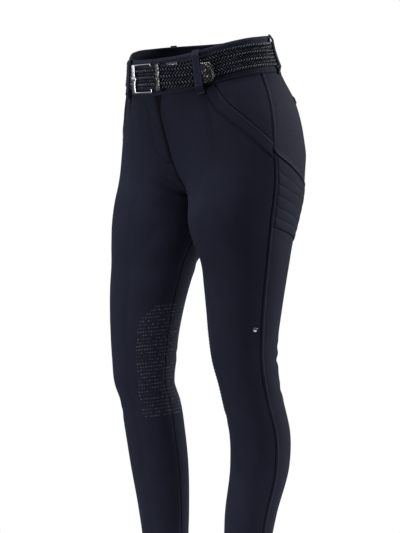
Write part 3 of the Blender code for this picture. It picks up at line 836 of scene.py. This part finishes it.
for word, side in SIDES.items():
    cloth(f"waistband_{word}", side, band_outline, (150, 30), band_rise, thickness=WALL + BAND_RISE)
    turn = np.linspace(0.01, 1.99, 240)
    runs = [sewn(side, turn, rim_height(turn) - down, BAND_RISE) for down in BAND_STITCHES_DOWN]
    stitched(f"waistband_stitches_{word}", f"waistband_{word}", runs, thread)

# Fly
# The underlap closes the wedge where the left front stands open under the buckle. Its twill is
# darkened nearly to black: painted shade for the deep shadow in that wedge. On the right front a
# curved double row of stitching holds the fly's facing, with a bar tack at its foot.
UNDERLAP_END = -0.194
UNDERLAP_BEHIND = WALL + 0.0009
UNDERLAP_LAPS = (-0.08, 0.15)
UNDERLAP_PAINTED_SHADE = 0.08
FLY_STITCHES = (
    Line(0.125, -0.096), Line(0.127, -0.128), Line(0.135, -0.170), Line(0.118, -0.182),
    Line(0.095, -0.189), Line(0.045, -0.196), Line(0.012, -0.198),
)
FLY_STITCH_APART = 0.0035
BAR_TACK_TURNS = np.array([0.020, 0.065])
BAR_TACK_HEIGHTS = np.array([-0.196, -0.194])
TACK_SIZE = (0.0006, 0.0005, 0.0030)
TACK_PITCH = 0.001


def round_form(lap, height, lift):
    """(points, outward) on both halves. lap is 0 at the centre front, 2 at the back, 4 in front."""
    lap, height, lift = np.broadcast_arrays(np.mod(lap, 4), height, lift)
    turn = np.minimum(lap, 4 - lap)
    left, left_out = on_form(LEFT, turn, height)
    right, right_out = on_form(RIGHT, turn, height)
    is_left = (lap <= 2)[..., None]
    out = np.where(is_left, left_out, right_out)
    return np.where(is_left, left, right) + out * lift[..., None], out


def underlap_place(across, down):
    lap = between(*UNDERLAP_LAPS, across)
    top = waist_seam(np.abs(lap)) - SEAM_GAP
    return round_form(lap, between(top, UNDERLAP_END, down), -UNDERLAP_BEHIND)


# The underlap's twill is the navy cut to a small share: painted shade for the shadow inside the fly's wedge.
underlap, (width, length, _) = shell(
    "fly_underlap_cloth", "fly_underlap", (24, 40), underlap_place, WALL,
    make_twill("underlap twill painted shade", shaded(NAVY, UNDERLAP_PAINTED_SHADE)),
)

fly_turns, fly_heights = np.array(FLY_STITCHES).T
share = np.linspace(0, 1, 60)
knots = np.linspace(0, 1, len(FLY_STITCHES))
runs = []
for inward in (0, FLY_STITCH_APART):
    turn = np.interp(share, knots, fly_turns) - inward / girths.mean() * eased(1 - share)
    height = np.interp(share, knots, fly_heights) + inward * eased(share * 1.6)
    runs.append(sewn(RIGHT, turn, height, THREAD_PROUD))
stitched("fly_stitches", "front_right", runs, dark_thread)
tack_run = sewn(RIGHT, BAR_TACK_TURNS, BAR_TACK_HEIGHTS, 3 * THREAD_PROUD, TACK_PITCH)
stitched("fly_bar_tack", "front_right", [tack_run], dark_thread, TACK_SIZE)

# Back pockets
# A narrow welt on each yoke, closed by a small dull button.
WELT_TURNS = (1.40, 1.78)
WELT_TOP = -0.0905
WELT_DEPTH = 0.010
WELT_RISE = 0.0012
WELT_EDGE_ROUND = 0.0009
WELT_EDGE_WIDTH = 0.0012
BUTTON_RADIUS = 0.0055
BUTTON_THICK = 0.0022
ButtonPoint = namedtuple("ButtonPoint", "radius height")
BUTTON_SHAPE = (
    ButtonPoint(0.0, 0.62), ButtonPoint(0.45, 0.60), ButtonPoint(0.62, 0.74), ButtonPoint(0.78, 1.0),
    ButtonPoint(0.92, 0.94), ButtonPoint(1.0, 0.60), ButtonPoint(0.97, 0.10), ButtonPoint(0.86, 0.0),
    ButtonPoint(0.0, 0.0),
)


def welt_outline(across, down):
    return between(*WELT_TURNS, across), WELT_TOP - WELT_DEPTH * down


def welt_rise(at):
    rounding = WELT_EDGE_ROUND * near(np.minimum(at.top, at.bottom), WELT_EDGE_WIDTH)
    return SEAM_GAP + WELT_RISE - rounding


def turned(node, profile, radius, thick, middle, out, material, steps=40):
    """A round piece spun from a profile, set on the cloth with its back at middle."""
    round_piece = bmesh.new()
    ring = [round_piece.verts.new((point.radius * radius, 0, point.height * thick)) for point in profile]
    edges = [round_piece.edges.new(pair) for pair in zip(ring, ring[1:])]
    bmesh.ops.spin(
        round_piece, geom=ring + edges, cent=(0, 0, 0), axis=(0, 0, 1), angle=2 * np.pi, steps=steps,
        use_merge=True,
    )
    bmesh.ops.remove_doubles(round_piece, verts=round_piece.verts, dist=1e-6)
    bmesh.ops.recalc_face_normals(round_piece, faces=round_piece.faces)
    place = Matrix.Translation(Vector(middle)) @ Vector(out).to_track_quat("Z", "Y").to_matrix().to_4x4()
    bmesh.ops.transform(round_piece, matrix=place, verts=round_piece.verts)
    name = f"{node}_turned"
    as_piece(name, node, as_mesh(name, round_piece), material)


def make_mottled(name, colour, roughness, scale, depth, **sockets):
    """A plain finish with a fine mottled surface."""
    material, shader = painted(name, colour, roughness, **sockets)
    place = added(material, "TexCoord", {}).outputs["Object"]
    grain = noise(material, place, scale, 4.0)
    toned(material, shader, grain, shaded(colour, 0.8), shaded(colour, 1.2))
    raised(material, shader, ((grain, depth),))
    return material


horn = make_mottled("dark button", (0.012, 0.013, 0.018), 0.38, 700.0, 0.00005)
for word, side in SIDES.items():
    cloth(f"welt_{word}", side, welt_outline, (60, 12), welt_rise, (0.3, 0.0), WELT_RISE)
    point, out = on_form(side, sum(WELT_TURNS) / 2, WELT_TOP - WELT_DEPTH / 2)
    middle = point + out * (3 * SEAM_GAP + WELT_RISE)
    turned(f"pocket_button_{word}", BUTTON_SHAPE, BUTTON_RADIUS, BUTTON_THICK, middle, out, horn)

# Belt strap
# Seven rows of slanting strands, every other row leaning the other way, plaited over a flat core,
# coloured near black: painted shade for the dark gaps between the strands.
# It goes once round the waist, through the buckle, and its free end hangs a little lower.
BELT_WIDTH = 0.038
BELT_THICK = 0.0036
BELT_DROP = 0.009
BELT_END_LAP = 53 / 12
BELT_END_SAG = 0.010
BELT_SAG_LAPS = (4.00, 4.62)
BELT_LIFT_LAPS = (3.78, 3.95)
BRAID_ROWS = 7
STRAND_PITCH = 0.0051
STRAND_SLANT = np.radians(45)
STRAND_SIZE = (0.00092, 0.0012, 0.0035)
STRAND_SHARE = 0.72
CORE_SHARE = 0.62
CORE_EDGE = 0.0012
WAIST_RADIUS = 0.117


def ramp_between(at, span):
    """0 before a span of laps, 1 after it, and eased within it."""
    return eased((at - span[0]) / (span[1] - span[0]))


def round_waist(lap, down, lift):
    """(points, outward) round the form, a way down from the waistband's top edge."""
    lap = np.asarray(lap, float)
    return round_form(lap, rim_height(2 - np.abs(np.mod(lap, 4) - 2)) - down, lift)


def belt_drop(lap):
    return BELT_DROP + BELT_END_SAG * ramp_between(lap, BELT_SAG_LAPS)


def belt_base(lap):
    """How far the strap's inner face stands off the form."""
    return BAND_RISE + SEAM_GAP + ramp_between(lap, BELT_LIFT_LAPS) * (BELT_THICK + SEAM_GAP)


def core_place(across, down):
    lap = across * (BELT_END_LAP - 0.004)
    fall = belt_drop(lap) + CORE_EDGE + (BELT_WIDTH - 2 * CORE_EDGE) * down
    return round_waist(lap, fall, belt_base(lap) + BELT_THICK * CORE_SHARE)


def on_row(row, lap, lift=0.0):
    """(points, outward) along the middle of one row of strands."""
    return round_waist(lap, belt_drop(lap) + BELT_WIDTH / BRAID_ROWS * (row + 0.5), belt_base(lap) + lift)


# The core's near-black colour is painted shade: it darkens the gaps between the strands, where shadow falls.
core_painted_shade = make_mottled("braid core painted shade", (0.0015, 0.0016, 0.0024), 0.8, 900.0, 0.0002, Specular_IOR_Level=0.1)
shell("belt_core", "belt_strap", (420, 6), core_place, BELT_THICK * CORE_SHARE, core_painted_shade, replaced=False)

strand = make_bead(8, 7)
braid_cord = make_toned(
    "braid cord", (0.0120, 0.0138, 0.0240), (0.0520, 0.0590, 0.1020), 0.38, Specular_IOR_Level=0.42
)
strands = int(BELT_END_LAP / 4 * 2 * np.pi * WAIST_RADIUS / STRAND_PITCH)
runs = []
for row in range(BRAID_ROWS):
    lap = (np.arange(strands) + 0.5 + 0.5 * (row % 2)) * (BELT_END_LAP - 0.02) / (strands + 0.5)
    middles, out = on_row(row, lap, BELT_THICK * STRAND_SHARE)
    along = unit(on_row(row, lap + 0.002)[0] - on_row(row, lap)[0])
    lean = STRAND_SLANT if row % 2 == 0 else -STRAND_SLANT
    length_way = along * np.cos(lean) + np.cross(out, along) * np.sin(lean)
    runs.append((middles, np.stack([np.cross(out, length_way), out, length_way], axis=1)))
laid("belt_braid", "belt_strap", runs, braid_cord, strand, STRAND_SIZE, replaced=True)

# Belt tip, inner end and keeper
# The strap's free end is bound in a crinkled patent leather tip. A leather binding shows on the
# inner end beside the buckle, and a leather keeper holds the two layers together. Rows of pale beads
# along the binding's top edge and across the tip's end are painted highlights for the glint on
# those leather edges.
TIP_LAPS = 0.14
KEEPER_LAP = 0.080
KEEPER_WIDTH = 0.009
LEATHER = 0.0016
STRAP_EDGE_WIDTH = 0.0012
OVER_BELT_GAP = 0.0004
QUARTER_WAIST = 0.13 * np.pi / 2
TIP_BULGE = 0.0016
TIP_CRUMPLE = 0.00035
TIP_EDGE_ROUND = 0.0011
TIP_EDGE_WIDTH = 0.0015
TAB_LAPS = (0.155, 0.258)
TAB_DEPTH = 0.012
TAB_THICK = 0.0010
TAB_EDGE_ROUND = 0.0006
EDGE_PITCH = 0.0011
EDGE_SIZE = (0.00038, 0.00030, 0.0008)

Stand = namedtuple("Stand", "share down lift")
KEEPER_RUN = (
    Stand(0.00, 0.0065, 0.64), Stand(0.06, 0.0078, 0.92), Stand(0.14, 0.0105, 1.00),
    Stand(0.18, 0.0127, 1.00), Stand(0.80, 0.0440, 1.00), Stand(0.86, 0.0465, 1.00),
    Stand(0.95, 0.0500, 0.92), Stand(1.00, 0.0515, 0.45),
)


def strap_over(name, node, lap, width, thick, run, lift, steps, bulge, material):
    """A short upright strap that passes over the belt. Returns the piece and its measures."""
    down_curve, lift_curve = curve_through(run, "down"), curve_through(run, "lift")

    def place(across, down):
        laps = lap + (2 * across - 1) * width / 2 / QUARTER_WAIST
        edge = np.minimum(across, 1 - across) * width
        rounding = bulge * (1 - near(edge, STRAP_EDGE_WIDTH))
        return round_waist(laps, down_curve(down), lift_curve(down) * lift + thick - bulge + rounding)

    return shell(name, node, steps, place, thick - bulge, material)


def make_patent():
    """Patent leather: a hard gloss over a finely crinkled grain."""
    colour = (0.0070, 0.0076, 0.0120)
    material, shader = painted("patent leather", colour, 0.27, Specular_IOR_Level=0.9)
    place = added(material, "TexCoord", {}).outputs["Object"]
    swell = noise(material, place, 150.0, 2.0)
    cells = added(
        material, "TexVoronoi", {"Vector": place, "Scale": 330.0, "Smoothness": 0.35}, feature="SMOOTH_F1"
    ).outputs["Distance"]
    toned(material, shader, swell, shaded(colour, 0.6), shaded(colour, 1.2))
    raised(material, shader, ((swell, 0.0012), (cells, 0.0007)))
    return material


patent = make_patent()


def tip_place(across, down):
    lap = BELT_END_LAP + 0.003 + (TIP_LAPS - 0.003) * across
    narrowing = 0.0015 + 0.0027 * across**0.7 + 0.0043 * eased((across - 0.86) / 0.14) ** 2
    fall = belt_drop(lap) + narrowing + (BELT_WIDTH - 2 * narrowing) * down
    edge = np.minimum(np.minimum(down, 1 - down) * BELT_WIDTH, (1 - across) * 0.028)
    rounding = TIP_EDGE_ROUND * near(edge, TIP_EDGE_WIDTH)
    bulge = TIP_BULGE * (1 - (2 * down - 0.75) ** 2) * np.sin(np.pi * np.clip(across, 0, 1)) ** 0.5
    crumple = TIP_CRUMPLE * np.sin(310 * down * BELT_WIDTH * 2 + 5 * across) * np.sin(21 * across + 9 * down)
    base = BAND_RISE + 2 * SEAM_GAP + BELT_THICK
    return round_waist(lap, fall, base + BELT_THICK - rounding + np.maximum(bulge, 0) + crumple)


shell("belt_tip_leather", "belt_tip", (60, 80), tip_place, BELT_THICK - 0.0012, patent)


def tab_place(across, down):
    lap = between(*TAB_LAPS, across)
    fall = BELT_DROP - 0.0003 + TAB_DEPTH * down
    rounding = TAB_EDGE_ROUND * near(down * TAB_DEPTH, TAB_THICK)
    return round_waist(lap, fall, BAND_RISE + 2 * SEAM_GAP + BELT_THICK - rounding)


shell("belt_end_tab", "belt_tip", (30, 10), tab_place, TAB_THICK, patent, replaced=False)

# Painted highlights: pale beads that stand in for the glint along the leather edges.
edge_highlight_paint = make_toned("leather edge painted highlight", (0.10, 0.105, 0.13), (0.26, 0.27, 0.32), 0.35, Specular_IOR_Level=0.5)
tab_edge = np.linspace(0.02, 0.98, 60)[None, :]
tip_edge = np.linspace(0.40, 0.90, 60)[:, None]
lines = [tab_place(tab_edge, np.full_like(tab_edge, 0.04))]
lines += [tip_place(np.full_like(tip_edge, across), tip_edge) for across in (0.90, 0.985)]
runs = []
for path, out in lines:
    path, out = path.reshape(-1, 3), out.reshape(-1, 3)
    runs.append(spaced(path + out * 2 * THREAD_PROUD, out, EDGE_PITCH))
stitched("leather_edge_highlights", "belt_tip", runs, edge_highlight_paint, EDGE_SIZE)

keeper_lift = BAND_RISE + 3 * SEAM_GAP + 2 * BELT_THICK + OVER_BELT_GAP
strap_over(
    "belt_keeper_leather", "belt_keeper", KEEPER_LAP, KEEPER_WIDTH, LEATHER, KEEPER_RUN, keeper_lift,
    (12, 60), 0.0005, patent,
)

# Belt loops
# Five straps of doubled twill, topstitched along both edges and bar-tacked at the bottom.
LOOP_WIDTH = 0.013
LOOP_THICK = 0.0016
LOOP_RUN = (
    Stand(0.00, -0.0025, 0.16), Stand(0.08, 0.0020, 0.62), Stand(0.16, 0.0070, 1.00),
    Stand(0.20, 0.0097, 1.00), Stand(0.76, 0.0464, 1.00), Stand(0.80, 0.0490, 1.00),
    Stand(0.86, 0.0525, 0.60), Stand(0.92, 0.0560, 0.20), Stand(1.00, 0.0600, 0.16),
)
LOOP_LONGER = 0.0075
LOOP_TACK_SIZE = (0.0004, 0.0004, 0.0013)
LOOP_TACK_DOWN = 0.955
over_one = BAND_RISE + 2 * SEAM_GAP + BELT_THICK + OVER_BELT_GAP
over_two = over_one + BELT_THICK + SEAM_GAP

Loop = namedtuple("Loop", "node lap lift longer")
LOOPS = (
    Loop("loop_front_left", 0.43, over_two, LOOP_LONGER),
    Loop("loop_back_left", 1.29, over_one, 0),
    Loop("loop_centre_back", 2.00, over_one, 0),
    Loop("loop_back_right", 2.64, over_one, 0),
    Loop("loop_front_right", 3.63, over_one, LOOP_LONGER),
)
loop_stitches = []
loop_tacks = []
for loop in LOOPS:
    run = [row._replace(down=row.down + loop.longer * (row.down > BELT_WIDTH)) for row in LOOP_RUN]
    piece, (width, length, _) = strap_over(
        f"{loop.node}_cloth", loop.node, loop.lap, LOOP_WIDTH, LOOP_THICK, run, loop.lift,
        (14, 70), 0.0004, twill,
    )
    down_curve, lift_curve = curve_through(run, "down"), curve_through(run, "lift")
    share = np.linspace(0.03, 0.97, 80)
    for aside in (-1, 1):
        lap = loop.lap + aside * (LOOP_WIDTH / 2 - 0.0022) / QUARTER_WAIST
        path, out = round_waist(lap, down_curve(share), lift_curve(share) * loop.lift + LOOP_THICK)
        loop_stitches.append(spaced(path, out, STITCH_PITCH))
    lap = loop.lap + np.linspace(-1, 1, 9) * (LOOP_WIDTH / 2 - 0.001) / QUARTER_WAIST
    lift = lift_curve(LOOP_TACK_DOWN) * loop.lift + LOOP_THICK
    path, out = round_waist(lap, down_curve(LOOP_TACK_DOWN), lift)
    middles, directions = spaced(path, out, 0.0009)
    loop_tacks.append((middles, directions[:, [2, 1, 0]] * np.array([1, 1, -1])[:, None]))
stitched("loop_stitches", "loop_front_left", loop_stitches, thread)
stitched("loop_tacks", "loop_front_left", loop_tacks, thread, LOOP_TACK_SIZE)

# Buckle
# A polished rectangular frame, leaned with the cloth. Its far bar lies over the strap, and the
# prong's end rests on it.
BUCKLE_LENGTH = 0.045
BUCKLE_HEIGHT = 0.046
BUCKLE_BAR = 0.0030
BUCKLE_FAR_BAR = 0.0085
BUCKLE_HEEL_BAR = 0.0035
BUCKLE_THICK = 0.0028
BUCKLE_TURN = 0.13
BUCKLE_STAND_OFF = 0.0054
BUCKLE_SETTLE = 0.0012
BUCKLE_TURNED = (5.0, 1.0, 2.1)
BUCKLE_BOW = 0.0006
PRONG_LENGTH = 0.012
PRONG_WIDTH = 0.007
PRONG_THICK = 0.0018

strap_middle = rim_height(BUCKLE_TURN) - BELT_DROP - BELT_WIDTH / 2 - BUCKLE_SETTLE
point, _ = on_form(RIGHT, BUCKLE_TURN, strap_middle)
buckle_place = Matrix.Translation((point[0], point[1] - BUCKLE_STAND_OFF, point[2]))
for axis, degrees in zip("XYZ", BUCKLE_TURNED):
    buckle_place = buckle_place @ Matrix.Rotation(np.radians(degrees), 4, axis)


def hard_piece(name, node, edit, place, rounding, material):
    """Rounds a mesh's edges, puts it in its place and makes it the piece for its node."""
    bmesh.ops.bevel(
        edit, geom=edit.edges, offset=rounding, segments=3, affect="EDGES", profile=0.5, material=-1
    )
    bmesh.ops.transform(edit, matrix=place, verts=edit.verts)
    bmesh.ops.recalc_face_normals(edit, faces=edit.faces)
    as_piece(name, node, as_mesh(name, edit), material)


def make_steel():
    """Polished steel with a few faint rubs."""
    material, shader = painted("polished steel", (0.78, 0.78, 0.80), 0.14, Metallic=1.0)
    place = added(material, "TexCoord", {}).outputs["Object"]
    rubs = noise(material, place, 260.0, 5.0)
    spread = added(material, "MapRange", {"Value": rubs, "To Min": 0.10, "To Max": 0.24}).outputs["Result"]
    material.node_tree.links.new(spread, shader.inputs["Roughness"])
    raised(material, shader, ((rubs, 0.00002),))
    return material


steel = make_steel()
ring = bmesh.new()
bmesh.ops.create_cube(ring, size=1.0)
bmesh.ops.scale(ring, vec=(BUCKLE_LENGTH, BUCKLE_THICK, BUCKLE_HEIGHT), verts=ring.verts)
flats = [face for face in ring.faces if abs(face.normal.y) > 0.9]
bmesh.ops.inset_individual(ring, faces=flats, thickness=BUCKLE_BAR)
inner = list({vert for face in flats for vert in face.verts})
narrower = (BUCKLE_LENGTH - BUCKLE_FAR_BAR - BUCKLE_HEEL_BAR) / (BUCKLE_LENGTH - 2 * BUCKLE_BAR)
bmesh.ops.scale(ring, vec=(narrower, 1, 1), verts=inner)
bmesh.ops.translate(ring, vec=((BUCKLE_FAR_BAR - BUCKLE_HEEL_BAR) / 2, 0, 0), verts=inner)
hole = [edge for face in flats for edge in face.edges]
bmesh.ops.delete(ring, geom=flats, context="FACES_ONLY")
bmesh.ops.bridge_loops(ring, edges=hole)
uprights = [edge for edge in ring.edges if abs((edge.verts[0].co - edge.verts[1].co).z) > BUCKLE_HEIGHT / 2]
bmesh.ops.subdivide_edges(ring, edges=uprights, cuts=7, use_grid_fill=True)
for vert in ring.verts:
    vert.co.y -= BUCKLE_BOW * (1 - (2 * vert.co.z / BUCKLE_HEIGHT) ** 2)
hard_piece("buckle_frame_bar", "buckle_frame", ring, buckle_place, 0.0009, steel)

pin = bmesh.new()
bmesh.ops.create_cube(pin, size=1.0)
bmesh.ops.scale(pin, vec=(PRONG_LENGTH, PRONG_THICK, PRONG_WIDTH), verts=pin.verts)
along = PRONG_LENGTH / 2 - BUCKLE_LENGTH / 2 - SEAM_GAP
proud = (BUCKLE_THICK + PRONG_THICK) / 2 + SEAM_GAP
pin_place = buckle_place @ Matrix.Translation((along, -proud, 0))
hard_piece("buckle_prong_pin", "buckle_prong", pin, pin_place, 0.0008, steel)

# Knee stud
# One plain round metal stud on the outside of the left knee.
STUD_RADIUS = 0.0036
STUD_THICK = 0.0016
STUD_TURN = 0.94
STUD_HEIGHT = -0.458
STUD_SHAPE = (
    ButtonPoint(0.0, 1.0), ButtonPoint(0.35, 0.97), ButtonPoint(0.62, 0.84), ButtonPoint(0.74, 0.66),
    ButtonPoint(0.80, 0.62), ButtonPoint(0.92, 0.66), ButtonPoint(1.0, 0.42), ButtonPoint(0.98, 0.0),
    ButtonPoint(0.0, 0.0),
)
point, out = on_form(LEFT, STUD_TURN, STUD_HEIGHT)
turned("knee_stud", STUD_SHAPE, STUD_RADIUS, STUD_THICK, point + out * SEAM_GAP, out, steel)

# Knee grips
# Rows of short silicone dashes printed inside each knee, from the front of the knee round the
# inseam to the back.
GRIP_PITCH = 0.0042
GRIP_SIZE = (0.0008, 0.00040, 0.0013)
GRIP_TOP = -0.421
GRIP_ROW_STEP = 0.0056
GRIP_ROWS = 32
GRIP_TILT = 0.015
GRIP_PROUD = 0.0001
GRIP_BACK_TURN = -0.21
GRIP_FRONT = (
    Line(0.18, -0.421), Line(0.305, -0.440), Line(0.33, -0.456), Line(0.325, -0.472),
    Line(0.345, -0.493), Line(0.325, -0.518), Line(0.32, -0.541), Line(0.36, -0.557),
    Line(0.365, -0.581), Line(0.38, -0.600),
)
silicone = make_toned(
    "grip silicone", (0.0030, 0.0036, 0.0070), (0.1300, 0.1380, 0.1700), 0.26, Specular_IOR_Level=0.5
)
front_turns, front_heights = np.array(GRIP_FRONT[::-1]).T
dash = make_bead(6, 5)
for word, side in SIDES.items():
    runs = []
    for row in range(GRIP_ROWS):
        height = GRIP_TOP - GRIP_ROW_STEP * row
        wrapped = np.linspace(GRIP_BACK_TURN, np.interp(height, front_heights, front_turns), 60)
        turn, tilted = np.mod(wrapped, 2), height - GRIP_TILT * wrapped
        runs.append(sewn(side, turn, tilted, GRIP_PROUD, GRIP_PITCH))
    laid(f"knee_grip_{word}", f"front_{word}", runs, silicone, dash, GRIP_SIZE)
